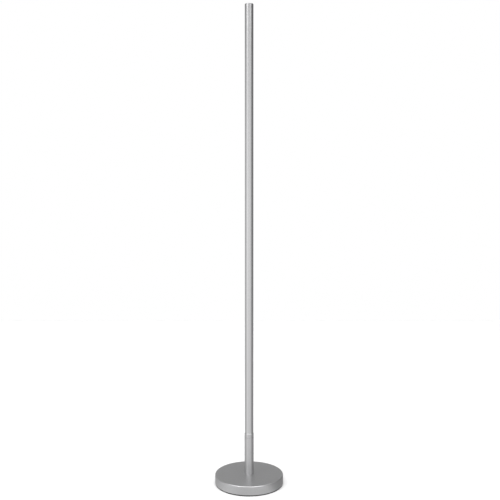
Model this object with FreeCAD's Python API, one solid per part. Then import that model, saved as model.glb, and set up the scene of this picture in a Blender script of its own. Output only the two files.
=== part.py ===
import FreeCAD, Part
import math
import os

V = FreeCAD.Vector
UP = V(0, 0, 1)
REAR = V(0, 1, 0)

# Slim floor uplighter on a weighted round base. Millimetres, +Z up, the origin on the floor under the pole.
# The front is -Y. The collar is fixed to the base; the pole turns in it, with all that the pole carries.

# How it moves: the post, with the pole, turns about Z in the bushes of the collar, turn_limit degrees each way,
# until the lug of the stop ring meets the stop pin. Nothing else moves.

# Overall sizes, from the proportions in the photograph
lamp_height = 1740.0            # floor to the upper face of the top ring
base_diameter = 250.0
base_height = 35.0              # floor to the flat top of the cover
pole_diameter = 31.0
collar_diameter = 33.5          # collar tube, and the ring of the swivel post above it
collar_length = 136.0           # from the cover up to the swivel gap
swivel_ring_height = 15.0
top_ring_height = 5.0

# Fits, all radial or per side
slip_fit = 0.05                 # plug, bush or spigot in its tube
running_fit = 0.05              # journal in its bushes
hole_clearance = 0.25           # screw, pin or stem through a plain hole
wire_clearance = 0.2            # lead in its hole

# Foot ring, bottom plate and cover
foot_height = 4.0
foot_width = 12.0
foot_inset = 1.5                # from the edge of the base
foot_edge = 0.6
bottom_plate_thickness = 1.5
bottom_plate_gap = 0.4
cover_wall = 2.0
cover_rim_radius = 3.0

# Cable inlet at the rear of the cover
inlet_height = 18.0
inlet_bore_diameter = 7.0
inlet_neck_wall = 2.0
inlet_flange_width = 3.0
inlet_flange_thickness = 1.2
inlet_dimple_depth = 1.4
inlet_dimple_gap = 0.5
inlet_lip_width = 1.2
inlet_lip_thickness = 2.0
inlet_tail_length = 5.0

# Ballast casting
ballast_gap = 0.5
ballast_plate_thickness = 14.0
ballast_rim_width = 10.0
hub_radius = 32.0
hub_web_thickness = 10.0
wiring_recess_radius = 60.0
wiring_recess_depth = 8.5
pocket_ceiling = 5.0            # thickness left above the pockets
pocket_wall = 4.0
pocket_corner_radius = 4.0
rib_count = 6
rib_width = 8.0
rib_height = 7.0

# Screws: thread, head and key sizes
m4_diameter = 4.0
m4_head_diameter = 7.6
m4_head_height = 2.2
m4_key = 2.5
m3_diameter = 3.0
m3_head_diameter = 5.6
m3_head_height = 1.8
m3_key = 2.0
m25_diameter = 2.5
m25_head_diameter = 4.5
m25_head_height = 1.6
m25_key = 1.5
key_depth_share = 0.6           # of the head's height
thread_bite = 2.0               # shortest hold in the casting, in thread diameters
drill_end_gap = 0.5             # tapped hole beyond the screw's end

bottom_screw_foot_gap = 7.0     # head to the foot ring
bottom_screw_angle = 30.0       # from the left-right line, clear of both pockets

# LED driver, hung under the ceiling of its pocket
driver_length = 90.0
driver_width = 34.0
driver_wall = 1.5
driver_corner_radius = 2.0
driver_floor_gap = 1.5          # above the bottom plate
driver_pocket_gap = 4.0
driver_ear_length = 8.0
driver_ear_width = 12.0
driver_ear_thickness = 2.0
driver_post_diameter = 5.0
driver_board_rise = 6.5         # board above the lid's outer face
driver_board_thickness = 1.6
driver_board_gap = 0.5
driver_lid_lip_height = 2.0
driver_lid_gap = 0.1
wiring_gutter = 14.0            # between the pocket's inner edge and the driver
driver_pocket_offset = 40.0     # inner edge of the pocket, from the axis
lead_turn_room = 20.0           # past each end of the driver

# Parts on the driver's board: blocks by place along X, length, width and share of the free height,
# and upright cans by place along X, place across and radius
DRIVER_BLOCKS = [(-4, 20, 18, 1.0), (-27, 12, 20, 0.7), (33, 8, 14, 0.8)]
DRIVER_CANS = [(14, -7, 4.0), (14, 6, 5.0), (23, -6, 3.2), (-16, 8, 2.5)]

# Terminal block at the rear, hung under the ceiling of its pocket
terminal_pitch = 11.0
terminal_tower_width = 6.0
terminal_length = 18.0
terminal_strip_height = 8.0
terminal_tower_height = 6.0
terminal_end_margin = 3.0
terminal_wire_hole_diameter = 3.2
terminal_screw_diameter = 3.0
terminal_screw_spacing = 10.0
terminal_screw_slot = 0.6
terminal_pocket_gap = 7.0
terminal_pocket_offset = 38.0   # inner edge of the pocket, from the axis
terminal_slack_room = 15.0      # for the leads, between the pocket's inner edge and the block

# Leads and the earth connection
lead_diameter = 4.0             # two-core jacketed lead to the light source
core_diameter = 2.4             # single insulated core
core_spacing = 4.2              # between live and neutral on their way to the driver
core_gutter_share = 0.57        # place of the neutral core in the wiring gutter
core_run_behind = 20.0          # neutral core's runs round the hub, from the axis
core_run_beside = 34.0
core_past_driver = 13.0         # neutral core's run, from the driver's end
terminal_drop_start = 3.0       # where the cores leave the block's height, in front of the block
terminal_drop_end = 11.0
lead_past_driver = 15.0
lead_gutter_share = 0.5
lead_bend = 15.0
core_bend = 12.0
pole_lead_bend = 60.0
run_share = 0.49                # of a run that one arc may take
lead_floor_gap = 1.5            # above the bottom plate
lead_into_hole = 4.0
lead_bore_chamfer = 1.5
bore_side_gap = 1.2             # lead to the stem's bore, where it bends into it
earth_screw_angle = 149.0
earth_screw_radius = 47.0
earth_tag_thickness = 0.8
earth_tag_reach = 7.0           # screw to the barrel
earth_barrel_length = 6.0
earth_barrel_wall = 0.6

# Socket foot, washer and nut that clamp collar, cover and ballast
stem_diameter = 20.0
lead_bore_diameter = 12.0
socket_plug_length = 18.0
hub_washer_thickness = 1.5
hub_washer_diameter = 37.0
hub_nut_thickness = 5.0
hub_nut_across_flats = 30.0
hub_counterbore_radius = 21.0
stem_past_nut = 0.5

# Collar tube and swivel
collar_wall = 3.25
swivel_gap = 0.5                # filled by the thrust washer
thrust_washer_inset = 0.6
thrust_washer_bore_gap = 0.4
collar_edge = 0.3
journal_diameter = 20.0
bush_length = 18.0
bush_flange_gap = 0.5           # upper bush below the collar's end
post_foot_height = 29.0         # post's lower end above the cover
post_end_chamfer = 1.0
circlip_thickness = 1.2
circlip_groove_depth = 0.75
circlip_width = 2.2
circlip_gap_angle = 50.0
circlip_offset = 3.0            # above the post's lower end
stop_ring_height = 5.0
stop_ring_wall = 1.0
stop_pin_diameter = 4.0
stop_pin_gap = 0.4              # pin's tip to the ring
stop_lug_gap = 0.4              # lug to the collar's bore
turn_limit = 160.0              # degrees each way
stop_slack_angle = 0.4
post_flat_depth = 1.0
disc_spring_thickness = 0.8
disc_spring_cone = 0.5
disc_spring_count = 2
disc_spring_bore_gap = 0.15
disc_spring_rim_gap = 0.5

# Pole and its fixing on the post
pole_wall = 2.0
post_spigot_length = 50.0
grub_diameter = 5.0
grub_length = 6.0
grub_key = 2.5
grub_key_depth = 2.5
grub_sink = 0.3                 # below the pole's surface
pole_grub_low = 13.0            # above the pole's foot
pole_grub_spacing = 24.0

# Connector and lead in the pole
connector_offset = 18.0         # above the post's upper end
connector_socket_diameter = 9.0
connector_socket_length = 14.0
connector_plug_diameter = 7.6
connector_plug_length = 12.0
pole_lead_shift_length = 50.0   # where the lead leaves the axis, below the heat sink

# Light source in the pole's upper end
heat_sink_length = 83.0
flute_count = 12
flute_radius = 2.0
lead_groove_gap = 0.5
lead_groove_wall = 0.9          # lead to the pole's bore
head_grub_low = 18.0            # above the heat sink's lower end
head_grub_spacing = 48.0
led_board_thickness = 1.6
led_board_inset = 0.5
board_screw_offset = 8.8
board_screw_length = 6.0
led_module_width = 12.0
led_module_thickness = 1.2
led_emitter_diameter = 9.0
led_emitter_thickness = 0.4
led_offset = 2.5                # towards the rear, so that the light leans to one side
reflector_wall = 0.6
reflector_throat_gap = 0.7
reflector_length = 28.0
lens_thickness = 3.0
lens_gap = 0.1
lens_edge = 0.3
gasket_thickness = 0.8
gasket_width = 1.0
lip_thickness = 2.5
lip_width = 1.2
top_ring_skirt_length = 12.0
top_ring_skirt_wall = 1.25
top_ring_edge = 0.4
lead_past_board = 1.5

# Radii and levels that follow from the sizes
base_radius = base_diameter / 2
cover_inner_radius = base_radius - cover_wall
cover_under = base_height - cover_wall
plate_low = foot_height
plate_top = plate_low + bottom_plate_thickness
ballast_radius = cover_inner_radius - ballast_gap
plate_upper = plate_top + ballast_plate_thickness
recess_top = plate_top + wiring_recess_depth
ceiling = cover_under - pocket_ceiling
stem_radius = stem_diameter / 2
lead_bore_radius = lead_bore_diameter / 2
lead_radius = lead_diameter / 2
core_radius = core_diameter / 2
washer_high = cover_under - hub_web_thickness
nut_high = washer_high - hub_washer_thickness
nut_low = nut_high - hub_nut_thickness
stem_low = nut_low - stem_past_nut
collar_radius = collar_diameter / 2
collar_bore = collar_radius - collar_wall
collar_top = base_height + collar_length
swivel_ring_low = collar_top + swivel_gap
pole_foot = swivel_ring_low + swivel_ring_height
pole_radius = pole_diameter / 2
pole_bore = pole_radius - pole_wall
pole_top = lamp_height - top_ring_height
post_top = pole_foot + post_spigot_length
journal_radius = journal_diameter / 2
post_foot = base_height + post_foot_height
circlip_low = post_foot + circlip_offset
stop_ring_low = circlip_low + circlip_thickness
stop_ring_top = stop_ring_low + stop_ring_height
stop_ring_radius = journal_radius + running_fit + stop_ring_wall
stop_pin_tip = stop_ring_radius + stop_pin_gap
disc_spring_height = disc_spring_thickness + disc_spring_cone
lower_bush_low = stop_ring_top + disc_spring_count * disc_spring_height
connector_low = post_top + connector_offset
connector_top = connector_low + connector_socket_length + connector_plug_length
lens_seat_top = lamp_height - lip_thickness
lens_top = lens_seat_top - gasket_thickness
lens_low = lens_top - lens_thickness
reflector_low = lens_low - reflector_length
led_module_low = reflector_low - led_module_thickness
board_low = led_module_low - led_board_thickness
heat_sink_low = board_low - heat_sink_length
insert_radius = pole_bore - slip_fit
lens_radius = insert_radius - top_ring_skirt_wall - lens_gap
lead_groove_offset = pole_bore - lead_groove_wall - lead_radius
driver_low = plate_top + driver_floor_gap
driver_board_low = driver_low + driver_board_rise
driver_inner_side = driver_pocket_offset + wiring_gutter
driver_centre_y = -(driver_inner_side + driver_width / 2)
driver_input_y = driver_centre_y + core_spacing / 2
driver_pocket_far = driver_inner_side + driver_width + driver_pocket_gap
driver_pocket_half = driver_length / 2 + lead_turn_room
terminal_near = terminal_pocket_offset + terminal_slack_room
terminal_far = terminal_near + terminal_length
terminal_strip_low = ceiling - terminal_strip_height
terminal_low = terminal_strip_low - terminal_tower_height
terminal_wire_height = terminal_low + terminal_tower_height / 2
terminal_half_width = terminal_pitch + terminal_tower_width / 2 + terminal_end_margin
terminal_pocket_half = terminal_half_width + terminal_pocket_gap
terminal_pocket_far = terminal_far + terminal_slack_room
inlet_neck_radius = inlet_bore_diameter / 2 + inlet_neck_wall
inlet_flange_radius = inlet_neck_radius + inlet_flange_width
inlet_dimple_radius = inlet_flange_radius + inlet_dimple_gap
inlet_seat = base_radius - inlet_dimple_depth
inlet_pad_radius = inlet_dimple_radius + cover_wall
lead_height = plate_top + lead_floor_gap + lead_radius
core_height = plate_top + lead_floor_gap + core_radius
same = 1e-6                     # two lengths this close are equal


def ring(outer, inner, low, high):
    """Upright disc between two heights, bored where the inner radius is above zero."""
    body = Part.makeCylinder(outer, high - low, V(0, 0, low))
    if inner > 0:
        body = body.cut(Part.makeCylinder(inner, high - low, V(0, 0, low)))
    return body


def turned(corners):
    """Solid turned about Z from a closed outline of (radius, height) corners."""
    outline = [V(radius, 0, height) for radius, height in corners]
    face = Part.Face(Part.makePolygon(outline + outline[:1]))
    return face.revolve(V(0, 0, 0), UP, 360)


def box(x_low, x_high, y_low, y_high, low, high):
    """Block between two corners."""
    return Part.makeBox(x_high - x_low, y_high - y_low, high - low, V(x_low, y_low, low))


def rounded_box(x_low, x_high, y_low, y_high, low, high, radius):
    """Block whose upright edges are rounded."""
    body = box(x_low, x_high, y_low, y_high, low, high)
    upright = [edge for edge in body.Edges if abs(edge.BoundBox.ZLength - (high - low)) < same]
    return body.makeFillet(radius, upright)


def hexagon(across_flats, low, high):
    """Six-sided upright prism."""
    corner_radius = across_flats / math.sqrt(3)
    corners = [
        V(corner_radius * math.cos(math.radians(60 * k)), corner_radius * math.sin(math.radians(60 * k)), low)
        for k in range(7)
    ]
    return Part.Face(Part.makePolygon(corners)).extrude(V(0, 0, high - low))


def circle_edges(shape, radius, height):
    """Edges of the shape that lie on a circle about Z of that radius, at that height."""
    return [
        edge
        for edge in shape.Edges
        if isinstance(edge.Curve, Part.Circle)
        and abs(edge.Curve.Radius - radius) < same
        and abs(edge.Curve.Center.z - height) < same
    ]


def placed(shape, x, y, z, direction=UP):
    """A shape made upright at the origin, put at a point and turned so that its +Z follows direction."""
    copy = shape.copy()
    copy.Placement = FreeCAD.Placement(V(x, y, z), FreeCAD.Rotation(UP, direction))
    return copy


def on_circle(radius, angle):
    """Point at an angle in degrees from +X on a circle about Z."""
    return radius * math.cos(math.radians(angle)), radius * math.sin(math.radians(angle))


def pan_screw(diameter, length, head_diameter, head_height, key):
    """Screw with its head below the origin and its shank up along +Z. The head has a hexagonal key recess."""
    head = ring(head_diameter / 2, 0, -head_height, 0)
    head = head.makeFillet(head_height / 2, circle_edges(head, head_diameter / 2, -head_height))
    body = head.fuse(ring(diameter / 2, 0, 0, length)).removeSplitter()
    return body.cut(hexagon(key, -head_height, -head_height * (1 - key_depth_share)))


def grub_screw():
    """Headless screw along +Z with its key recess in the upper end."""
    body = ring(grub_diameter / 2, 0, -grub_length, 0)
    return body.cut(hexagon(grub_key, -grub_key_depth, 0))


def route(points, bend):
    """Straight runs joined by tangent arcs, each as wide as bend or as its shorter run allows."""
    corners = [V(*point) for point in points]
    edges = []
    radii = []
    start = corners[0]
    for before, corner, after in zip(corners, corners[1:], corners[2:]):
        shorter = min((corner - before).Length, (after - corner).Length)
        arriving = (corner - before).normalize()
        leaving = (after - corner).normalize()
        half_turn = arriving.getAngle(leaving) / 2
        reach = min(bend * math.tan(half_turn), run_share * shorter)
        radius = reach / math.tan(half_turn)
        inward = (leaving - arriving).normalize()
        middle = corner + inward * (radius / math.cos(half_turn) - radius)
        enter = corner - arriving * reach
        leave = corner + leaving * reach
        edges.append(Part.LineSegment(start, enter).toShape())
        edges.append(Part.Arc(enter, middle, leave).toShape())
        radii.append(radius)
        start = leave
    edges.append(Part.LineSegment(start, corners[-1]).toShape())
    return Part.Wire(edges), radii


def lead(name, points, diameter, bend):
    """Round lead along a route. It prints the arcs' radii, and its volume against section times length."""
    path, radii = route(points, bend)
    direction = V(*points[1]) - V(*points[0])
    section = Part.Wire([Part.Circle(V(*points[0]), direction, diameter / 2).toShape()])
    solid = path.makePipeShell([section], True, False)
    share = solid.Volume / (math.pi * diameter**2 / 4 * path.Length)
    print(name, "radii", [round(radius, 1) for radius in radii], "volume share", round(share, 4))
    return solid


# Base

def foot_ring():
    """Rubber ring under the bottom plate, with its lower edges broken."""
    outer = base_radius - foot_inset
    inner = outer - foot_width
    return turned([
        (inner, foot_height), (inner, foot_edge), (inner + foot_edge, 0),
        (outer - foot_edge, 0), (outer, foot_edge), (outer, foot_height),
    ])


def bottom_screw_places():
    """Centres of the screws that hold the bottom plate, two to the left and two to the right."""
    circle_radius = base_radius - foot_inset - foot_width - bottom_screw_foot_gap - m4_head_diameter / 2
    x, y = on_circle(circle_radius, bottom_screw_angle)
    return [(x, y), (-x, y), (-x, -y), (x, -y)]


def bottom_screw_length():
    """Through the plate and far enough into the ballast."""
    return bottom_plate_thickness + thread_bite * m4_diameter


def bottom_plate():
    """Steel sheet that closes the underside, flush with the cover's edge."""
    body = ring(cover_inner_radius - bottom_plate_gap, 0, plate_low, plate_top)
    for x, y in bottom_screw_places():
        hole = ring(m4_diameter / 2 + hole_clearance, 0, plate_low, plate_top)
        body = body.cut(placed(hole, x, y, 0))
    return body


def bottom_plate_screws():
    """Four pan-head screws, whose heads stay above the floor within the foot ring."""
    screw = pan_screw(m4_diameter, bottom_screw_length(), m4_head_diameter, m4_head_height, m4_key)
    return [placed(screw, x, y, plate_low) for x, y in bottom_screw_places()]


def base_cover():
    """Deep-drawn steel shell with a rounded rim, a stem hole and a dimpled seat for the inlet bush."""
    outside = ring(base_radius, 0, plate_low, base_height)
    outside = outside.makeFillet(cover_rim_radius, circle_edges(outside, base_radius, base_height))
    inside = ring(cover_inner_radius, 0, plate_low, cover_under)
    inner_rim = max(cover_rim_radius - cover_wall, collar_edge)
    inside = inside.makeFillet(inner_rim, circle_edges(inside, cover_inner_radius, cover_under))
    stem_hole = ring(stem_radius + hole_clearance, 0, cover_under, base_height)
    shell = outside.cut(inside).cut(stem_hole)
    seat_low = inlet_seat - cover_wall
    depth = base_radius - seat_low
    pad = ring(inlet_pad_radius, 0, 0, depth)
    dimple = ring(inlet_dimple_radius, 0, cover_wall, depth)
    hole = ring(inlet_neck_radius + slip_fit, 0, 0, depth)
    pad, dimple, hole = [placed(solid, 0, seat_low, inlet_height, REAR) for solid in (pad, dimple, hole)]
    return shell.fuse(pad.common(outside)).cut([dimple, hole]).removeSplitter()


def inlet_bush_length():
    """From the flange's outer face to the end of the tail."""
    return inlet_flange_thickness + cover_wall + inlet_lip_thickness + inlet_tail_length


def cable_inlet_bush():
    """Snap-in bush, turned about its bore: flange outside, neck in the wall, lip and tail inside."""
    bore = inlet_bore_diameter / 2
    lip_radius = inlet_neck_radius + inlet_lip_width
    wall_in = inlet_flange_thickness + cover_wall
    lip_in = wall_in + inlet_lip_thickness
    body = turned([
        (bore, 0), (inlet_flange_radius, 0), (inlet_flange_radius, -inlet_flange_thickness),
        (inlet_neck_radius, -inlet_flange_thickness), (inlet_neck_radius, -wall_in),
        (lip_radius, -wall_in), (inlet_neck_radius, -lip_in),
        (inlet_neck_radius, -inlet_bush_length()), (bore, -inlet_bush_length()),
    ])
    return placed(body, 0, inlet_seat + inlet_flange_thickness, inlet_height, REAR)


def ballast():
    """Iron casting: plate, rim, hub, ribs and two raised pockets, hollowed from below for the wiring."""
    rim_chamfer = max(cover_rim_radius - cover_wall, collar_edge) + ballast_gap
    body = ring(ballast_radius, 0, plate_top, plate_upper)
    rim = turned([
        (ballast_radius - ballast_rim_width, plate_top), (ballast_radius, plate_top),
        (ballast_radius, cover_under - rim_chamfer), (ballast_radius - rim_chamfer, cover_under),
        (ballast_radius - ballast_rim_width, cover_under),
    ])
    hub = ring(hub_radius, 0, plate_top, cover_under)
    body = body.fuse([rim, hub])
    for k in range(rib_count):
        rib = box(0, ballast_radius - ballast_rim_width / 2, -rib_width / 2, rib_width / 2,
                  plate_top, plate_upper + rib_height)
        rib.rotate(V(0, 0, 0), UP, 360 / rib_count * k)
        body = body.fuse(rib)
    limit = ring(ballast_radius - ballast_rim_width / 2, 0, plate_top, cover_under)
    driver_boss = rounded_box(
        -driver_pocket_half - pocket_wall, driver_pocket_half + pocket_wall,
        -driver_pocket_far - pocket_wall, -driver_pocket_offset + pocket_wall,
        plate_top, cover_under, pocket_corner_radius + pocket_wall)
    terminal_boss = rounded_box(
        -terminal_pocket_half - pocket_wall, terminal_pocket_half + pocket_wall,
        terminal_pocket_offset - pocket_wall, terminal_pocket_far + pocket_wall,
        plate_top, cover_under, pocket_corner_radius + pocket_wall)
    body = body.fuse([driver_boss.common(limit), terminal_boss.common(limit)])
    recess = ring(wiring_recess_radius, 0, plate_top, recess_top)
    counterbore = ring(hub_counterbore_radius, 0, plate_top, washer_high)
    stem_hole = ring(stem_radius + hole_clearance, 0, plate_top, cover_under)
    driver_pocket = rounded_box(
        -driver_pocket_half, driver_pocket_half, -driver_pocket_far, -driver_pocket_offset,
        plate_top, ceiling, pocket_corner_radius)
    terminal_pocket = rounded_box(
        -terminal_pocket_half, terminal_pocket_half, terminal_pocket_offset, terminal_pocket_far,
        plate_top, ceiling, pocket_corner_radius)
    inlet_way = box(-inlet_pad_radius, inlet_pad_radius, terminal_pocket_far - pocket_wall, base_radius,
                    plate_top, inlet_height)
    inlet_clear = ring(inlet_pad_radius + ballast_gap, 0, 0, base_radius - terminal_pocket_far + pocket_wall)
    inlet_clear = placed(inlet_clear, 0, terminal_pocket_far - pocket_wall, inlet_height, REAR)
    body = body.cut([recess, counterbore, stem_hole, driver_pocket, terminal_pocket, inlet_way, inlet_clear])
    tapped = ring(m4_diameter / 2, 0, plate_low, plate_low + bottom_screw_length() + drill_end_gap)
    body = body.cut([placed(tapped, x, y, 0) for x, y in bottom_screw_places()])
    driver_tap = ring(m3_diameter / 2, 0, ceiling, ceiling + pocket_ceiling - drill_end_gap)
    body = body.cut([placed(driver_tap, x, driver_centre_y, 0) for x in driver_screw_places()])
    block_tap = ring(m25_diameter / 2, 0, ceiling, ceiling + pocket_ceiling - drill_end_gap)
    body = body.cut([placed(block_tap, x, terminal_middle(), 0) for x in block_screw_places()])
    earth_x, earth_y = earth_screw_place()
    earth_tap = ring(m4_diameter / 2, 0, recess_top, recess_top + earth_screw_hold() + drill_end_gap)
    return body.cut(placed(earth_tap, earth_x, earth_y, 0)).removeSplitter()


# LED driver

def driver_screw_places():
    """Places along X of the two screws, in the middle of the driver's ears."""
    offset = driver_length / 2 + driver_ear_length / 2
    return [-offset, offset]


def driver_case():
    """Moulded tray, open below, with an ear at each end of its back and holes for the leads."""
    half = driver_length / 2
    side_low = driver_centre_y - driver_width / 2
    side_high = driver_centre_y + driver_width / 2
    body = rounded_box(-half, half, side_low, side_high, driver_low, ceiling, driver_corner_radius)
    ears = rounded_box(
        -half - driver_ear_length, half + driver_ear_length,
        driver_centre_y - driver_ear_width / 2, driver_centre_y + driver_ear_width / 2,
        ceiling - driver_ear_thickness, ceiling, driver_corner_radius)
    body = body.fuse(ears)
    body = body.cut(box(
        -half + driver_wall, half - driver_wall, side_low + driver_wall, side_high - driver_wall,
        driver_low, ceiling - driver_wall))
    post = ring(driver_post_diameter / 2, 0, driver_board_low + driver_board_thickness, ceiling)
    body = body.fuse([placed(post, x, y, 0) for x, y in driver_post_places()]).removeSplitter()
    screw_hole = ring(m3_diameter / 2 + hole_clearance, 0, ceiling - driver_ear_thickness, ceiling)
    body = body.cut([placed(screw_hole, x, driver_centre_y, 0) for x in driver_screw_places()])
    output = ring(lead_radius + wire_clearance, 0, 0, 2 * driver_wall)
    body = body.cut(placed(output, -half - driver_wall / 2, driver_centre_y, lead_height, V(1, 0, 0)))
    core_hole = ring(core_radius + wire_clearance, 0, 0, 2 * driver_wall)
    inputs = [
        placed(core_hole, half - 1.5 * driver_wall, driver_input_y - shift, core_height, V(1, 0, 0))
        for shift in (0, core_spacing)
    ]
    return body.cut(inputs)


def driver_post_places():
    """Centres of the posts in the tray's corners that carry the board."""
    along = driver_length / 2 - driver_wall - driver_post_diameter / 2
    across = driver_width / 2 - driver_wall - driver_post_diameter / 2
    return [(x, driver_centre_y + y) for x in (-along, along) for y in (-across, across)]


def driver_board():
    """Circuit board on the posts with its transformer, choke, capacitors and heat spreader."""
    half = driver_length / 2 - driver_wall - driver_board_gap
    half_width = driver_width / 2 - driver_wall - driver_board_gap
    board_top = driver_board_low + driver_board_thickness
    high = ceiling - driver_wall - driver_board_gap
    body = box(-half, half, -half_width, half_width, driver_board_low, board_top)
    for x, length, width, share in DRIVER_BLOCKS:
        block_top = board_top + share * (high - board_top)
        body = body.fuse(box(x - length / 2, x + length / 2, -width / 2, width / 2, board_top, block_top))
    for x, y, radius in DRIVER_CANS:
        body = body.fuse(placed(ring(radius, 0, board_top, high), x, y, 0))
    body.translate(V(0, driver_centre_y, 0))
    return body.removeSplitter()


def driver_lid():
    """Flat lid under the tray with a lip that fits inside it, notched where the leads pass."""
    half = driver_length / 2 - driver_wall - driver_lid_gap
    half_width = driver_width / 2 - driver_wall - driver_lid_gap
    plate = box(-half, half, driver_centre_y - half_width, driver_centre_y + half_width,
                driver_low, driver_low + driver_wall)
    lip = box(-half, half, driver_centre_y - half_width, driver_centre_y + half_width,
              driver_low + driver_wall, driver_low + driver_wall + driver_lid_lip_height)
    inner = half - driver_wall
    inner_width = half_width - driver_wall
    lip = lip.cut(box(-inner, inner, driver_centre_y - inner_width, driver_centre_y + inner_width,
                      driver_low + driver_wall, driver_low + driver_wall + driver_lid_lip_height))
    notch_half = core_spacing / 2 + lead_radius + wire_clearance
    notches = box(-half, half, driver_centre_y - notch_half, driver_centre_y + notch_half,
                  driver_low, driver_low + driver_wall + driver_lid_lip_height)
    keep = box(-inner, inner, driver_centre_y - notch_half, driver_centre_y + notch_half,
               driver_low, driver_low + driver_wall)
    return plate.fuse(lip).cut(notches).fuse(keep).removeSplitter()


def driver_screws():
    """Two screws from below, through the ears into the pocket's ceiling."""
    length = driver_ear_thickness + pocket_ceiling - 2 * drill_end_gap
    screw = pan_screw(m3_diameter, length, m3_head_diameter, m3_head_height, m3_key)
    return [placed(screw, x, driver_centre_y, ceiling - driver_ear_thickness) for x in driver_screw_places()]


# Terminal block

def terminal_places():
    """Places along X of the three poles: earth, neutral and live."""
    return [-terminal_pitch, 0, terminal_pitch]


def terminal_middle():
    """Middle of the block along Y."""
    return (terminal_near + terminal_far) / 2


def block_screw_places():
    """Places along X of the two fixing screws, between the poles."""
    return [-terminal_pitch / 2, terminal_pitch / 2]


def terminal_screw_places():
    """Centres of the six clamping screws, two to a pole."""
    middle = terminal_middle()
    half = terminal_screw_spacing / 2
    return [(x, y) for x in terminal_places() for y in (middle - half, middle + half)]


def terminal_block():
    """Moulded strip with a tower to each pole, a wire hole through each and holes for the screws."""
    body = box(-terminal_half_width, terminal_half_width, terminal_near, terminal_far,
               terminal_strip_low, ceiling)
    for x in terminal_places():
        tower = box(x - terminal_tower_width / 2, x + terminal_tower_width / 2, terminal_near, terminal_far,
                    terminal_low, ceiling)
        body = body.fuse(tower)
    hole = ring(terminal_wire_hole_diameter / 2, 0, 0, terminal_length)
    body = body.cut([placed(hole, x, terminal_near, terminal_wire_height, REAR) for x in terminal_places()])
    screw_hole = ring(terminal_screw_diameter / 2 + slip_fit, 0, terminal_low, terminal_wire_height)
    body = body.cut([placed(screw_hole, x, y, 0) for x, y in terminal_screw_places()])
    fixing = ring(m25_diameter / 2 + hole_clearance, 0, terminal_strip_low, ceiling)
    body = body.cut([placed(fixing, x, terminal_middle(), 0) for x in block_screw_places()])
    return body.removeSplitter()


def terminal_screws():
    """Slotted clamping screws, flush with the towers, each ending at the wire's hole."""
    high = terminal_wire_height - core_radius - wire_clearance
    body = ring(terminal_screw_diameter / 2, 0, terminal_low, high)
    half = terminal_screw_diameter / 2
    body = body.cut(box(-half, half, -terminal_screw_slot / 2, terminal_screw_slot / 2,
                        terminal_low, terminal_low + terminal_screw_slot))
    return [placed(body, x, y, 0) for x, y in terminal_screw_places()]


def terminal_block_screws():
    """Two screws from below, between the towers, into the pocket's ceiling."""
    length = terminal_strip_height + pocket_ceiling - 2 * drill_end_gap
    screw = pan_screw(m25_diameter, length, m25_head_diameter, m25_head_height, m25_key)
    return [placed(screw, x, terminal_middle(), terminal_strip_low) for x in block_screw_places()]


# Leads and earth connection

def core_drop(pole_x):
    """Points from a pole of the block forward, then down to the cores' height."""
    return [
        (pole_x, terminal_near + lead_into_hole, terminal_wire_height),
        (pole_x, terminal_near - terminal_drop_start, terminal_wire_height),
        (pole_x, terminal_near - terminal_drop_end, core_height),
    ]


def core_route(pole_x, shift):
    """Points of a core from its pole round the hub's right side to the driver, shift outside the neutral."""
    beside = core_run_beside + shift
    behind = core_run_behind + shift
    in_front = shift - driver_pocket_offset - core_gutter_share * wiring_gutter
    past = driver_length / 2 + core_past_driver + shift
    driver_y = driver_input_y - shift
    return core_drop(pole_x) + [
        (pole_x, behind, core_height),
        (beside, behind, core_height),
        (beside, in_front, core_height),
        (past, in_front, core_height),
        (past, driver_y, core_height),
        (driver_length / 2 - driver_wall, driver_y, core_height),
    ]


def live_lead():
    """Outer core."""
    return lead("live", core_route(terminal_pitch, core_spacing), core_diameter, core_bend)


def neutral_lead():
    """Inner core."""
    return lead("neutral", core_route(0, 0), core_diameter, core_bend)


def earth_screw_place():
    """Centre of the earth screw in the wiring recess."""
    return on_circle(earth_screw_radius, earth_screw_angle)


def earth_screw_hold():
    """Depth of the earth screw in the casting above the recess."""
    return plate_upper - recess_top - 2 * drill_end_gap


def earth_direction():
    """From the earth screw towards the terminal block, level."""
    x, y = earth_screw_place()
    return V(-terminal_pitch - x, terminal_near - terminal_drop_end - y, 0).normalize()


def earth_screw():
    """Pan-head screw that holds the tag against the casting."""
    length = earth_tag_thickness + earth_screw_hold()
    screw = pan_screw(m4_diameter, length, m4_head_diameter, m4_head_height, m4_key)
    x, y = earth_screw_place()
    return placed(screw, x, y, recess_top - earth_tag_thickness)


def earth_barrel_height():
    """Axis of the tag's barrel, whose back lies against the casting."""
    return recess_top - core_radius - slip_fit - earth_barrel_wall


def earth_tag():
    """Ring tag with a tongue and a crimped barrel for the core."""
    x, y = earth_screw_place()
    low = recess_top - earth_tag_thickness
    eye = ring(m4_head_diameter / 2, 0, low, recess_top)
    tongue = box(0, earth_tag_reach + earth_barrel_wall, -core_radius, core_radius, low, recess_top)
    barrel = ring(core_radius + slip_fit + earth_barrel_wall, 0, 0, earth_barrel_length)
    barrel = placed(barrel, earth_tag_reach, 0, earth_barrel_height(), V(1, 0, 0))
    body = eye.fuse([tongue, barrel])
    bore = ring(core_radius + slip_fit, 0, 0, earth_barrel_length)
    bore = placed(bore, earth_tag_reach, 0, earth_barrel_height(), V(1, 0, 0))
    screw_hole = ring(m4_diameter / 2 + hole_clearance, 0, low, recess_top)
    body = body.cut([bore, screw_hole])
    direction = earth_direction()
    body.rotate(V(0, 0, 0), UP, math.degrees(math.atan2(direction.y, direction.x)))
    body.translate(V(x, y, 0))
    return body


def earth_lead():
    """Core from the block's earth pole into the tag's barrel."""
    x, y = earth_screw_place()
    direction = earth_direction()
    inner = V(x, y, earth_barrel_height()) + direction * (earth_tag_reach + slip_fit)
    outer = inner + direction * (earth_barrel_length + core_diameter)
    points = core_drop(-terminal_pitch) + [tuple(outer), tuple(inner)]
    return lead("earth", points, core_diameter, core_bend)


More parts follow.
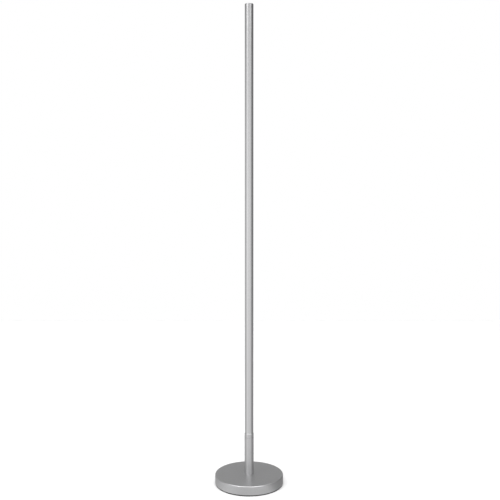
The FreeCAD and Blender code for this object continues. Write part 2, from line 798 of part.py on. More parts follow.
def rise_bend():
    """Radius that brings the lead from level to upright with room left where it enters the stem's bore."""
    shift = lead_bore_radius - lead_radius - bore_side_gap
    rise = stem_low - lead_height
    return shift + rise + math.sqrt(2 * shift * rise)


def led_lead():
    """Two-core lead from the driver's left end, back along the gutter, then up the axis to the connector."""
    half = driver_length / 2
    far = half + lead_past_driver
    gutter_y = -driver_pocket_offset - lead_gutter_share * wiring_gutter
    level = [
        (-half + driver_wall, driver_centre_y, lead_height),
        (-far, driver_centre_y, lead_height),
        (-far, gutter_y, lead_height),
        (0, gutter_y, lead_height),
        (0, -rise_bend(), lead_height),
    ]
    path, radii = route(level, lead_bend)
    bend = rise_bend()
    start = V(0, -bend, lead_height)
    centre = start + UP * bend
    middle = centre + (REAR - UP).normalize() * bend
    end = centre + REAR * bend
    edges = path.Edges + [
        Part.Arc(start, middle, end).toShape(),
        Part.LineSegment(end, V(0, 0, connector_low)).toShape(),
    ]
    whole = Part.Wire(edges)
    section = Part.Wire([Part.Circle(V(*level[0]), V(1, 0, 0), lead_radius).toShape()])
    solid = whole.makePipeShell([section], True, False)
    share = solid.Volume / (math.pi * lead_radius**2 * whole.Length)
    print("led_lead radii", [round(radius, 1) for radius in radii + [bend]], "volume share", round(share, 4))
    return solid


# Collar, with what clamps it to the base

def collar_tube():
    """Steel tube with its upper edge broken and a cross hole for the stop pin at the rear."""
    body = turned([
        (collar_bore, base_height), (collar_radius, base_height), (collar_radius, collar_top - collar_edge),
        (collar_radius - collar_edge, collar_top), (collar_bore, collar_top),
    ])
    hole = ring(stop_pin_diameter / 2 + slip_fit, 0, 0, collar_radius)
    return body.cut(placed(hole, 0, 0, stop_pin_height(), REAR))


def socket_foot():
    """Plug in the collar's foot with a stem through cover and ballast, bored for the lead."""
    plug_radius = collar_bore - slip_fit
    plug_top = base_height + socket_plug_length
    return turned([
        (lead_bore_radius, stem_low + lead_bore_chamfer), (lead_bore_radius + lead_bore_chamfer, stem_low),
        (stem_radius, stem_low), (stem_radius, base_height),
        (plug_radius, base_height), (plug_radius, plug_top), (lead_bore_radius, plug_top),
    ])


def hub_washer():
    """Washer between the nut and the ballast's web."""
    return ring(hub_washer_diameter / 2, stem_radius + hole_clearance, nut_high, washer_high)


def hub_nut():
    """Thin hexagon nut on the stem."""
    body = hexagon(hub_nut_across_flats, nut_low, nut_high)
    return body.cut(ring(stem_radius + slip_fit, 0, nut_low, nut_high))


def bush(low):
    """Plain bush pressed into the collar."""
    return ring(collar_bore - slip_fit, journal_radius + running_fit, low, low + bush_length)


def stop_pin_height():
    """Middle of the stop ring."""
    return (stop_ring_low + stop_ring_top) / 2


def stop_pin():
    """Dowel through the collar's rear wall, flush outside, with its tip in the path of the lug."""
    outer = collar_radius - collar_edge
    dowel = ring(stop_pin_diameter / 2, 0, 0, outer - stop_pin_tip)
    return placed(dowel, 0, stop_pin_tip, stop_pin_height(), REAR)


def thrust_washer():
    """Thin plastic washer that carries the pole on the collar's end."""
    bore = journal_radius + thrust_washer_bore_gap
    return ring(collar_radius - thrust_washer_inset, bore, collar_top, swivel_ring_low)


# Swivel post, with what turns on it

def swivel_post():
    """Turned piece: journal with a flat and a circlip groove, visible ring, and a spigot for the pole."""
    chamfer = collar_radius - pole_radius
    spigot = insert_radius
    body = turned([
        (lead_bore_radius, post_foot), (journal_radius - post_end_chamfer, post_foot),
        (journal_radius, post_foot + post_end_chamfer), (journal_radius, swivel_ring_low),
        (collar_radius - collar_edge, swivel_ring_low), (collar_radius, swivel_ring_low + collar_edge),
        (collar_radius, pole_foot - chamfer), (pole_radius, pole_foot), (spigot, pole_foot),
        (spigot, post_top - post_end_chamfer), (spigot - post_end_chamfer, post_top),
        (lead_bore_radius, post_top),
    ])
    groove_radius = journal_radius - circlip_groove_depth
    groove = ring(journal_radius + same, groove_radius, circlip_low, stop_ring_low)
    flat = journal_radius - post_flat_depth
    flat_cut = box(-journal_radius, journal_radius, -journal_radius, -flat, post_foot, stop_ring_top)
    tapped = ring(grub_diameter / 2, 0, 0, insert_radius)
    grub_holes = [placed(tapped, 0, 0, height, REAR) for height in pole_grub_heights()]
    return body.cut([groove, flat_cut] + grub_holes)


def stop_ring():
    """Ring keyed to the post's flat, with a lug at the front that meets the stop pin at each end."""
    bore = journal_radius + slip_fit
    flat = journal_radius - post_flat_depth + slip_fit
    hole = ring(bore, 0, stop_ring_low, stop_ring_top)
    hole = hole.cut(box(-bore, bore, -bore, -flat, stop_ring_low, stop_ring_top))
    pin_angle = math.degrees(math.asin(stop_pin_diameter / 2 / stop_pin_tip))
    lug_half = 180 - turn_limit - pin_angle - stop_slack_angle
    lug_radius = collar_bore - stop_lug_gap
    lug = Part.makeCylinder(lug_radius, stop_ring_height, V(0, 0, stop_ring_low), UP, 2 * lug_half)
    lug.rotate(V(0, 0, 0), UP, 270 - lug_half)
    return ring(stop_ring_radius, 0, stop_ring_low, stop_ring_top).fuse(lug).cut(hole).removeSplitter()


def disc_springs():
    """Coned washers back to back between the stop ring and the lower bush."""
    inner = journal_radius + disc_spring_bore_gap
    outer = collar_bore - disc_spring_rim_gap
    springs = []
    for k in range(disc_spring_count):
        low = stop_ring_top + k * disc_spring_height
        inner_lift = disc_spring_cone if k % 2 == 0 else 0
        outer_lift = disc_spring_cone - inner_lift
        high = low + disc_spring_thickness
        springs.append(turned([
            (inner, low + inner_lift), (outer, low + outer_lift),
            (outer, high + outer_lift), (inner, high + inner_lift),
        ]))
    return springs


def post_circlip():
    """Snap ring in the post's groove, open at the rear."""
    inner = journal_radius - circlip_groove_depth + slip_fit
    body = ring(inner + circlip_width, inner, circlip_low, stop_ring_low)
    reach = inner + 2 * circlip_width
    gap = Part.makeCylinder(reach, circlip_thickness, V(0, 0, circlip_low), UP, circlip_gap_angle)
    gap.rotate(V(0, 0, 0), UP, 90 - circlip_gap_angle / 2)
    return body.cut(gap)


# Pole

def pole_grub_heights():
    """Heights of the two grub screws at the pole's foot."""
    low = pole_foot + pole_grub_low
    return [low, low + pole_grub_spacing]


def head_grub_heights():
    """Heights of the two grub screws that hold the heat sink."""
    low = heat_sink_low + head_grub_low
    return [low, low + head_grub_spacing]


def pole_tube():
    """Drawn tube from the post's ring to the top ring, tapped at the rear for its grub screws."""
    body = ring(pole_radius, pole_bore, pole_foot, pole_top)
    tapped = ring(grub_diameter / 2, 0, 0, pole_radius)
    heights = pole_grub_heights() + head_grub_heights()
    return body.cut([placed(tapped, 0, 0, height, REAR) for height in heights])


def grub_screws(heights):
    """Grub screws at the rear, sunk a little below the pole's surface."""
    return [placed(grub_screw(), 0, pole_radius - grub_sink, height, REAR) for height in heights]


def connector_socket():
    """Lower half of the lead's connector, on the axis."""
    return ring(connector_socket_diameter / 2, 0, connector_low, connector_low + connector_socket_length)


def connector_plug():
    """Upper half of the lead's connector."""
    return ring(connector_plug_diameter / 2, 0, connector_low + connector_socket_length, connector_top)


def pole_lead():
    """Lead up the pole's axis, then over to the heat sink's groove and past the board's edge."""
    points = [
        (0, 0, connector_top),
        (0, 0, heat_sink_low - pole_lead_shift_length),
        (0, -lead_groove_offset, heat_sink_low),
        (0, -lead_groove_offset, board_low + led_board_thickness + lead_past_board),
    ]
    return lead("pole_lead", points, lead_diameter, pole_lead_bend)


# Light source

def lead_groove(low, high):
    """Space that the lead takes through the heat sink and the board, open to the front."""
    half = lead_radius + lead_groove_gap
    return box(-half, half, -pole_bore, -lead_groove_offset + half, low, high)


def heat_sink():
    """Fluted aluminium slug that fits the pole, grooved for the lead and tapped for its screws."""
    body = ring(insert_radius, 0, heat_sink_low, board_low)
    step = 360 / flute_count
    flute = ring(flute_radius, 0, heat_sink_low, board_low)
    flutes = [placed(flute, *on_circle(insert_radius, step * (k + 0.5)), 0) for k in range(flute_count)]
    tapped = ring(grub_diameter / 2, 0, 0, grub_length)
    depth = pole_radius - grub_sink - grub_length
    holes = [placed(tapped, 0, depth, height, REAR) for height in head_grub_heights()]
    board_tap = ring(m25_diameter / 2, 0, board_low + led_board_thickness - board_screw_length, board_low)
    taps = [placed(board_tap, x, 0, 0) for x in (-board_screw_offset, board_screw_offset)]
    return body.cut(flutes + holes + taps + [lead_groove(heat_sink_low, board_low)])


def led_board():
    """Round metal-core board with a notch for the lead."""
    high = board_low + led_board_thickness
    body = ring(insert_radius - led_board_inset, 0, board_low, high)
    hole = ring(m25_diameter / 2 + hole_clearance, 0, board_low, high)
    holes = [placed(hole, x, 0, 0) for x in (-board_screw_offset, board_screw_offset)]
    return body.cut(holes + [lead_groove(board_low, high)])


def board_screws():
    """Two screws that press the board onto the heat sink."""
    screw = pan_screw(m25_diameter, board_screw_length, m25_head_diameter, m25_head_height, m25_key)
    high = board_low + led_board_thickness
    return [placed(screw, x, 0, high, V(0, 0, -1)) for x in (-board_screw_offset, board_screw_offset)]


def led_module():
    """Square ceramic carrier, off centre towards the rear."""
    half = led_module_width / 2
    return box(-half, half, led_offset - half, led_offset + half, led_module_low, reflector_low)


def led_emitter():
    """Round phosphor field on the carrier."""
    field = ring(led_emitter_diameter / 2, 0, reflector_low, reflector_low + led_emitter_thickness)
    return placed(field, 0, led_offset, 0)


def reflector():
    """Oblique cone from the off-centre emitter to the lens, a wall thick."""
    def cone(throat, mouth):
        ends = [
            Part.Wire([Part.Circle(V(0, led_offset, reflector_low), UP, throat).toShape()]),
            Part.Wire([Part.Circle(V(0, 0, lens_low), UP, mouth).toShape()]),
        ]
        return Part.makeLoft(ends, True, True)
    throat = led_emitter_diameter / 2 + reflector_throat_gap
    return cone(throat + reflector_wall, lens_radius).cut(cone(throat, lens_radius - reflector_wall))


def lens():
    """Clear disc with its edges broken."""
    return turned([
        (0, lens_low), (lens_radius - lens_edge, lens_low), (lens_radius, lens_low + lens_edge),
        (lens_radius, lens_top - lens_edge), (lens_radius - lens_edge, lens_top), (0, lens_top),
    ])


def lens_gasket():
    """Flat ring between the lens and the top ring's lip."""
    return ring(lens_radius, lens_radius - gasket_width, lens_top, lens_seat_top)


def top_ring():
    """Turned end ring: skirt in the pole, seat for the lens, and a lip over it."""
    seat = lens_radius + lens_gap
    lip = seat - lip_width
    skirt_low = pole_top - top_ring_skirt_length
    return turned([
        (seat, skirt_low), (insert_radius, skirt_low), (insert_radius, pole_top), (pole_radius, pole_top),
        (pole_radius, lamp_height - top_ring_edge), (pole_radius - top_ring_edge, lamp_height),
        (lip, lamp_height), (lip, lens_seat_top), (seat, lens_seat_top),
    ])


def upper_bush():
    """Bush just below the collar's end."""
    return bush(collar_top - bush_flange_gap - bush_length)


def lower_bush():
    """Bush above the springs, which press on it."""
    return bush(lower_bush_low)


def pole_grub_screws():
    """Two grub screws through the pole's foot into the post."""
    return grub_screws(pole_grub_heights())


def heat_sink_screws():
    """Two grub screws through the pole's head into the heat sink."""
    return grub_screws(head_grub_heights())


PIECES = [
    foot_ring, bottom_plate, bottom_plate_screws, base_cover, cable_inlet_bush, ballast,
    driver_case, driver_board, driver_lid, driver_screws,
    terminal_block, terminal_screws, terminal_block_screws,
    live_lead, neutral_lead, earth_lead, earth_tag, earth_screw, led_lead,
    collar_tube, socket_foot, hub_washer, hub_nut, upper_bush, lower_bush, stop_pin, thrust_washer,
    swivel_post, stop_ring, disc_springs, post_circlip,
    pole_tube, pole_grub_screws, connector_socket, connector_plug, pole_lead,
    heat_sink, heat_sink_screws, led_board, board_screws, led_module, led_emitter,
    reflector, lens, lens_gasket, top_ring,
]

os.makedirs("parts", exist_ok=True)
for piece in PIECES:
    made = piece()
    shape = Part.makeCompound(made) if isinstance(made, list) else made
    shape.exportStep("parts/" + piece.__name__ + ".step")
    print(piece.__name__, len(shape.Solids), "solids", round(shape.Volume), "mm3", shape.isValid())
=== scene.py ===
import math
import bpy
import numpy as np
from mathutils import Euler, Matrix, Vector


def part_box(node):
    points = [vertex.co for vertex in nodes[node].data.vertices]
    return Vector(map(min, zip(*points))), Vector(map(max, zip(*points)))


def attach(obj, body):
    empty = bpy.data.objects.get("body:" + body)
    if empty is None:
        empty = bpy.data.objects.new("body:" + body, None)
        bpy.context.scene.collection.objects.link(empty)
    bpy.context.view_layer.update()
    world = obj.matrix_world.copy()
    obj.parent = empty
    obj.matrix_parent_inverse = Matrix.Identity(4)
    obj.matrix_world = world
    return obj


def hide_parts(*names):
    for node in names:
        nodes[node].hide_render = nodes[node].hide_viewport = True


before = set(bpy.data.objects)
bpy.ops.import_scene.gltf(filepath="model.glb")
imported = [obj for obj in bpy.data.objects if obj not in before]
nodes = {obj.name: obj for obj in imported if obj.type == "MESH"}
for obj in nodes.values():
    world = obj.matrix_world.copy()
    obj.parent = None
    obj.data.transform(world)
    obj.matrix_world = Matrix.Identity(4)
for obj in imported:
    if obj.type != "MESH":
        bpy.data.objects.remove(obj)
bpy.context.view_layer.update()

mm = 0.001


# --- Foot ring ------------------------------------------------------------------------------------
# The lamp stands on one moulded rubber ring, glued under the bottom plate and set back from the rim, so
# that it shows as a thin dark line. Its underside has three grooves that keep it from creeping on a
# smooth floor.

def linear(code):
    """sRGB hex colour as linear red, green, blue and alpha 1."""
    channels = [int(code[k:k + 2], 16) / 255 for k in (0, 2, 4)]
    return [c / 12.92 if c <= 0.04045 else ((c + 0.055) / 1.055) ** 2.4 for c in channels] + [1.0]


def add(tree, kind, values=None, links=None, **settings):
    """A shader node with its settings, its sockets' values by name or number, and its incoming links."""
    node = tree.nodes.new("ShaderNode" + kind)
    for name, value in settings.items():
        setattr(node, name, value)
    for name, value in (values or {}).items():
        node.inputs[name].default_value = value
    for name, socket in (links or {}).items():
        tree.links.new(socket, node.inputs[name])
    return node


def begin(name):
    """A new material with no nodes but its texture coordinates: the material, its tree and the Object
    coordinates.
    """
    material = bpy.data.materials.new(name)
    material.use_nodes = True
    tree = material.node_tree
    tree.nodes.clear()
    return material, tree, add(tree, "TexCoord").outputs["Object"]


def end(tree, shader):
    """Links the shader to the material's output."""
    add(tree, "OutputMaterial", links={"Surface": shader.outputs[0]})


def moulded_rubber(name, colour, grain):
    """Rubber from a spark-eroded mould: nearly black, dull, with a fine even grain and slightly dusty
    patches."""
    material, tree, place = begin(name)
    grains = add(tree, "TexNoise", {"Scale": 1 / (grain * mm), "Detail": 3.0}, {"Vector": place})
    dust = add(tree, "TexNoise", {"Scale": 1 / (14 * mm), "Detail": 4.0}, {"Vector": place})
    tint = add(tree, "Mix", {"A": linear(colour), "B": linear("3c3c3b")}, data_type="RGBA")
    amount = add(tree, "MapRange", {"From Min": 0.5, "From Max": 0.8, "To Max": 0.3},
                 {"Value": dust.outputs["Fac"]})
    tree.links.new(amount.outputs[0], tint.inputs["Factor"])
    bump = add(tree, "Bump", {"Strength": 0.35, "Distance": 0.1 * mm}, {"Height": grains.outputs["Fac"]})
    shader = add(tree, "BsdfPrincipled", {"Roughness": 0.78, "IOR": 1.52, "Specular IOR Level": 0.25}, {
        "Base Color": tint.outputs["Result"], "Normal": bump.outputs[0]})
    end(tree, shader)
    return material


def closed_ring(profile, steps):
    """Closed outline of (radius, height) points carried once round Z: x is radius times the cosine of
    the angle, y radius times its sine, z the height. Outline and turn both close on themselves, so
    nothing is open."""
    radius, height = np.array(profile, float).T * mm
    angle = np.linspace(0, 2 * math.pi, steps, endpoint=False)[:, None]
    points = np.stack([radius * np.cos(angle), radius * np.sin(angle), height + 0 * angle], axis=-1)
    count = len(radius)
    turn, along = np.meshgrid(np.arange(steps), np.arange(count), indexing="ij")
    next_turn, next_along = (turn + 1) % steps, (along + 1) % count
    faces = np.stack([turn * count + along, next_turn * count + along,
                      next_turn * count + next_along, turn * count + next_along], axis=-1)
    return points.reshape(-1, 3), faces.reshape(-1, 4)


def piece(name, points, faces, material, body, replaced, slot):
    """A mesh object at the origin from points and faces, with its material, its body, and what it
    stands for."""
    mesh = bpy.data.meshes.new(name)
    mesh.from_pydata(points.tolist(), [], faces.tolist())
    mesh.materials.append(material)
    made = bpy.data.objects.new(name, mesh)
    bpy.context.scene.collection.objects.link(made)
    mesh.shade_smooth()
    mesh.set_sharp_from_angle(angle=math.radians(crease_degrees))
    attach(made, body)
    if replaced:
        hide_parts(replaced)
    return made


def finish_nodes(material, *names):
    """Gives carried-over CAD pieces their material."""
    for name in names:
        nodes[name].data.materials.clear()
        nodes[name].data.materials.append(material)


def arc(centre, radius, start, stop):
    """Points of an outline along an arc: centre plus radius times the cosine and the sine of an angle
    that runs from start to stop, in degrees."""
    angle = np.radians(np.linspace(start, stop, arc_points))
    return np.stack([centre[0] + radius * np.cos(angle), centre[1] + radius * np.sin(angle)],
                    axis=-1).tolist()


crease_degrees = 40
arc_points = 5
foot_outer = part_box("foot_ring")[1][0] / mm
foot_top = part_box("foot_ring")[1][2] / mm
foot_width = 12.0
foot_inner = foot_outer - foot_width
foot_edge = 0.6
groove_half = 0.5
groove_depth = 0.7
groove_slope = 0.15
foot_steps = 240
underside = [(foot_inner, foot_top)] + arc((foot_inner + foot_edge, foot_edge), foot_edge, 180, 270)
for share in (0.25, 0.5, 0.75):
    groove = foot_inner + share * foot_width
    underside += [
        (groove - groove_half, 0), (groove - groove_half + groove_slope, groove_depth),
        (groove + groove_half - groove_slope, groove_depth), (groove + groove_half, 0)]
underside += arc((foot_outer - foot_edge, foot_edge), foot_edge, 270, 360) + [(foot_outer, foot_top)]
foot_rubber = moulded_rubber("moulded_rubber", "161616", 0.6)
piece("rubber_foot", *closed_ring(underside, foot_steps), foot_rubber, "base", "foot_ring", "foot_rubber")


# --- Bottom plate and its screws ------------------------------------------------------------------
# A disc of zinc-plated steel sheet closes the base from below. Four pan-head screws with hexagon recesses
# hold it to the casting; their heads stay clear of the floor.

def zinc_plated(name, colour, cell, roughness):
    """Clear-passivated zinc on steel: grey and softly bright, clouded by the crystals of the plating."""
    material, tree, place = begin(name)
    crystals = add(tree, "TexVoronoi", {"Scale": 1 / (cell * mm), "Randomness": 1.0}, {"Vector": place})
    cloud = add(tree, "TexNoise", {"Scale": 1 / (6 * cell * mm), "Detail": 5.0}, {"Vector": place})
    tint = add(tree, "Mix", {"A": linear(colour), "B": linear("8f9193")}, {"Factor": cloud.outputs["Fac"]},
               data_type="RGBA")
    rough = add(tree, "MapRange", {"To Min": roughness - 0.08, "To Max": roughness + 0.1},
                {"Value": crystals.outputs["Color"]})
    bump = add(tree, "Bump", {"Strength": 0.1, "Distance": 0.05 * mm},
               {"Height": crystals.outputs["Distance"]})
    shader = add(tree, "BsdfPrincipled", {"Metallic": 1.0}, {
        "Base Color": tint.outputs["Result"], "Roughness": rough.outputs[0], "Normal": bump.outputs[0]})
    end(tree, shader)
    return material


finish_nodes(zinc_plated("zinc_plated_sheet", "b9bbbd", 2.5, 0.38), "bottom_plate")
finish_nodes(
    zinc_plated("zinc_plated_screws", "c4c6c8", 0.5, 0.3), "bottom_plate_screws", "driver_screws",
    "terminal_screws", "terminal_block_screws", "earth_screw", "hub_washer", "hub_nut", "board_screws")


# --- Ballast --------------------------------------------------------------------------------------
# One grey iron casting gives the lamp its weight. It was poured in a sand mould and dipped in primer, so
# it is dark, dull and pitted by the sand.

def sand_cast_iron(name):
    """Grey iron from a sand mould: dark and dull, pitted at the size of the sand, with rust-brown
    clouds."""
    material, tree, place = begin(name)
    sand = add(tree, "TexNoise", {"Scale": 1 / (0.9 * mm), "Detail": 6.0, "Roughness": 0.65},
               {"Vector": place})
    cloud = add(tree, "TexNoise", {"Scale": 1 / (25 * mm), "Detail": 3.0}, {"Vector": place})
    tint = add(tree, "Mix", {"A": linear("3b3b3c"), "B": linear("4b423c")},
               {"Factor": cloud.outputs["Fac"]}, data_type="RGBA")
    bump = add(tree, "Bump", {"Strength": 0.7, "Distance": 0.3 * mm}, {"Height": sand.outputs["Fac"]})
    shader = add(tree, "BsdfPrincipled", {"Metallic": 0.4, "Roughness": 0.72}, {
        "Base Color": tint.outputs["Result"], "Normal": bump.outputs[0]})
    end(tree, shader)
    return material


finish_nodes(sand_cast_iron("sand_cast_iron"), "ballast")


# --- Driver, terminal block and leads -------------------------------------------------------------
# The mains cord would end in a moulded terminal block. Single cores run from it to the driver, a flat
# plastic case with its circuit board, and one core earths the casting through a crimped tag.

def moulded_plastic(name, colour, grain, roughness):
    """Injection-moulded polyamide or polycarbonate: even colour with a faint flow, a fine spark grain,
    dull."""
    material, tree, place = begin(name)
    grains = add(tree, "TexNoise", {"Scale": 1 / (grain * mm), "Detail": 2.0}, {"Vector": place})
    flow = add(tree, "TexNoise", {"Scale": 1 / (20 * mm), "Detail": 2.0, "Distortion": 1.0},
               {"Vector": place})
    shade = add(tree, "HueSaturation", {"Color": linear(colour)})
    value = add(tree, "MapRange", {"To Min": 0.93, "To Max": 1.05}, {"Value": flow.outputs["Fac"]})
    tree.links.new(value.outputs[0], shade.inputs["Value"])
    bump = add(tree, "Bump", {"Strength": 0.25, "Distance": 0.05 * mm}, {"Height": grains.outputs["Fac"]})
    shader = add(tree, "BsdfPrincipled", {"Roughness": roughness, "IOR": 1.53}, {
        "Base Color": shade.outputs[0], "Normal": bump.outputs[0]})
    end(tree, shader)
    return material


def green_circuit_board(name):
    """Glass-epoxy board under green solder resist: glossy, with paler copper areas beneath the resist."""
    material, tree, place = begin(name)
    copper = add(tree, "TexVoronoi", {"Scale": 1 / (5 * mm), "Randomness": 0.4}, {"Vector": place},
                 feature="F1", distance="MANHATTAN")
    edge = add(tree, "MapRange", {"From Min": 0.3, "From Max": 0.34}, {"Value": copper.outputs["Distance"]})
    tint = add(tree, "Mix", {"A": linear("1d6b3c"), "B": linear("10472a")}, {"Factor": edge.outputs[0]},
               data_type="RGBA")
    shader = add(tree, "BsdfPrincipled", {"Roughness": 0.3, "IOR": 1.55},
                 {"Base Color": tint.outputs["Result"]})
    end(tree, shader)
    return material


def extruded_insulation(name, colour, stripe, pitch):
    """Soft PVC drawn over the wire: smooth and slightly waxy. A striped core has its second colour in
    bands."""
    material, tree, place = begin(name)
    wave = add(tree, "TexWave", {"Scale": 1 / (pitch * mm), "Distortion": 0.0}, {"Vector": place},
               wave_type="BANDS", bands_direction="DIAGONAL")
    band = add(tree, "MapRange", {"From Min": 0.45, "From Max": 0.55}, {"Value": wave.outputs["Fac"]})
    tint = add(tree, "Mix", {"A": linear(colour), "B": linear(stripe)}, {"Factor": band.outputs[0]},
               data_type="RGBA")
    waviness = add(tree, "TexNoise", {"Scale": 1 / (4 * mm)}, {"Vector": place})
    rough = add(tree, "MapRange", {"To Min": 0.36, "To Max": 0.48}, {"Value": waviness.outputs["Fac"]})
    shader = add(tree, "BsdfPrincipled", {"IOR": 1.53}, {
        "Base Color": tint.outputs["Result"], "Roughness": rough.outputs[0]})
    end(tree, shader)
    return material


finish_nodes(moulded_plastic("moulded_polycarbonate", "d6d5cf", 0.35, 0.5), "driver_case", "driver_lid")
finish_nodes(green_circuit_board("green_circuit_board"), "driver_board")
finish_nodes(moulded_plastic("moulded_polyamide", "c9c8c0", 0.3, 0.45), "terminal_block")
finish_nodes(moulded_plastic("connector_polyamide", "c2c1bb", 0.3, 0.45), "connector_socket",
             "connector_plug")
finish_nodes(extruded_insulation("brown_insulation", "5a3a22", "5e3d25", 8.0), "live_lead")
finish_nodes(extruded_insulation("blue_insulation", "2a5fa8", "2c62ab", 8.0), "neutral_lead")
finish_nodes(extruded_insulation("green_yellow_insulation", "2f8f3a", "d9c832", 6.0), "earth_lead")
finish_nodes(extruded_insulation("black_jacket", "222222", "242424", 8.0), "led_lead", "pole_lead")
finish_nodes(zinc_plated("tinned_copper", "c9c5bf", 0.6, 0.32), "earth_tag")


# --- Base cover and collar ------------------------------------------------------------------------
# The cover is deep-drawn steel sheet and the collar a steel tube that stands on it. Both, and the turned
# ring above the collar, wear the same satin metallic grey lacquer.

def metallic_lacquer(name, colour):
    """Stoved lacquer with fine aluminium flake: a satin grey that brightens where it faces the light, very
    slightly uneven like orange peel, with a soft clear top layer. The flake is drawn coarser than it is."""
    material, tree, place = begin(name)
    flake = add(tree, "TexVoronoi", {"Scale": 1 / (0.35 * mm)}, {"Vector": place})
    flake_tone = add(tree, "SeparateColor", links={0: flake.outputs["Color"]})
    value = add(tree, "MapRange", {"To Min": 0.93, "To Max": 1.07}, {"Value": flake_tone.outputs[0]})
    tint = add(tree, "HueSaturation", {"Color": linear(colour)}, {"Value": value.outputs[0]})
    rough = add(tree, "MapRange", {"To Min": 0.33, "To Max": 0.4}, {"Value": flake_tone.outputs[1]})
    peel = add(tree, "TexNoise", {"Scale": 1 / (1.6 * mm), "Detail": 1.0}, {"Vector": place})
    bump = add(tree, "Bump", {"Strength": 0.12, "Distance": 0.03 * mm}, {"Height": peel.outputs["Fac"]})
    shader = add(tree, "BsdfPrincipled", {"Metallic": 0.9, "Coat Weight": 0.1, "Coat Roughness": 0.3}, {
        "Base Color": tint.outputs[0], "Roughness": rough.outputs[0], "Normal": bump.outputs[0]})
    end(tree, shader)
    return material


finish_nodes(metallic_lacquer("metallic_grey_lacquer", "c8c8c9"), "base_cover", "collar_tube",
             "swivel_post")


# --- Cable inlet ----------------------------------------------------------------------------------
# A snap-in rubber bush lines the hole at the rear of the cover, in a pressed seat. Its rounded flange
# stays inside the cover's outline; inside, behind the lip that snaps through the hole, its tail is ribbed
# so that it can bend.

bush_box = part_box("cable_inlet_bush")
bush_face = bush_box[1][1] / mm
bush_height = (bush_box[0][2] + bush_box[1][2]) / 2 / mm
bush_length = bush_face - bush_box[0][1] / mm
bush_bore = 3.5
bush_neck = 5.5
bush_lip = 6.7
bush_flange = 8.5
flange_thickness = 1.2
neck_length = 2.0
lip_length = 2.0
mouth_round = 0.6
flange_round = 0.8
rib_groove_half = 0.4
rib_groove_depth = 0.6
bush_steps = 96
outline = arc((bush_bore + mouth_round, -mouth_round), mouth_round, 90, 180)
outline += [(bush_bore, -bush_length), (bush_neck, -bush_length)]
for share in (0.8, 0.5, 0.2):
    groove = -flange_thickness - neck_length - lip_length
    groove -= share * (bush_length - flange_thickness - neck_length - lip_length)
    outline += [
        (bush_neck, groove - rib_groove_half), (bush_neck - rib_groove_depth, groove),
        (bush_neck, groove + rib_groove_half)]
outline += [
    (bush_neck, -flange_thickness - neck_length - lip_length), (bush_lip, -flange_thickness - neck_length),
    (bush_neck, -flange_thickness - neck_length), (bush_neck, -flange_thickness),
    (bush_flange, -flange_thickness)]
outline += arc((bush_flange - flange_round, -flange_round), flange_round, 0, 90)
points, faces = closed_ring(outline, bush_steps)
across, upward, along = points.T
points = np.stack([across, along + bush_face * mm, bush_height * mm - upward], axis=-1)
piece("inlet_bush", points, faces, moulded_rubber("bush_rubber", "202020", 0.4), "base", "cable_inlet_bush",
      "bush_rubber")


# --- Collar's inside: foot, bushes, thrust washer, stop and springs -------------------------------
# The pole's post turns in two acetal bushes on an acetal washer. A ring with a lug meets a steel pin at
# each end of the turn, and a pair of disc springs gives the friction.

def turned_steel(name, colour):
    """Bright free-cutting steel off the lathe: fine tool rings about Z, softly reflecting."""
    material, tree, place = begin(name)
    rings = add(tree, "TexWave", {"Scale": 1 / (0.25 * mm), "Distortion": 0.6}, {"Vector": place},
                wave_type="BANDS", bands_direction="Z")
    bump = add(tree, "Bump", {"Strength": 0.15, "Distance": 0.02 * mm}, {"Height": rings.outputs["Fac"]})
    stain = add(tree, "TexNoise", {"Scale": 1 / (9 * mm), "Detail": 3.0}, {"Vector": place})
    rough = add(tree, "MapRange", {"To Min": 0.26, "To Max": 0.4}, {"Value": stain.outputs["Fac"]})
    shader = add(tree, "BsdfPrincipled", {"Base Color": linear(colour), "Metallic": 1.0}, {
        "Roughness": rough.outputs[0], "Normal": bump.outputs[0]})
    end(tree, shader)
    return material


finish_nodes(turned_steel("turned_steel", "b3b5b7"), "socket_foot", "stop_pin", "stop_ring")
finish_nodes(turned_steel("phosphated_spring_steel", "5c5d62"), "disc_springs", "post_circlip")
finish_nodes(turned_steel("black_oxide_steel", "2d2e30"), "pole_grub_screws", "heat_sink_screws")
finish_nodes(moulded_plastic("natural_acetal", "e6e3d8", 0.5, 0.4), "upper_bush", "lower_bush")
finish_nodes(moulded_plastic("black_acetal", "1f1f20", 0.5, 0.45), "thrust_washer")


# --- Pole and its end ring ------------------------------------------------------------------------
# The pole is drawn aluminium tube, finely brushed along its length and clear anodised. The end ring is
# turned from the same metal and holds the lens.

def anodised_aluminium(name, colour, across, along, roughness):
    """Clear-anodised aluminium: a pale satin metal. Fine lines lie along the pole, or round a turned
    ring, and spread each reflection across them. The lines are drawn coarser than they are."""
    material, tree, place = begin(name)
    stretch = add(tree, "Mapping", {"Scale": (1 / (across * mm), 1 / (across * mm), 1 / (along * mm))},
                  {"Vector": place})
    lines = add(tree, "TexNoise", {"Scale": 1.0, "Detail": 4.0, "Roughness": 0.6},
                {"Vector": stretch.outputs[0]})
    bump = add(tree, "Bump", {"Strength": 0.1, "Distance": 0.02 * mm}, {"Height": lines.outputs["Fac"]})
    tone = add(tree, "MapRange", {"To Min": 0.97, "To Max": 1.03}, {"Value": lines.outputs["Fac"]})
    tint = add(tree, "HueSaturation", {"Color": linear(colour)}, {"Value": tone.outputs[0]})
    rough = add(tree, "MapRange", {"To Min": roughness - 0.04, "To Max": roughness + 0.05},
                {"Value": lines.outputs["Fac"]})
    shader = add(tree, "BsdfPrincipled", {"Metallic": 1.0}, {
        "Base Color": tint.outputs[0], "Roughness": rough.outputs[0], "Normal": bump.outputs[0]})
    end(tree, shader)
    return material


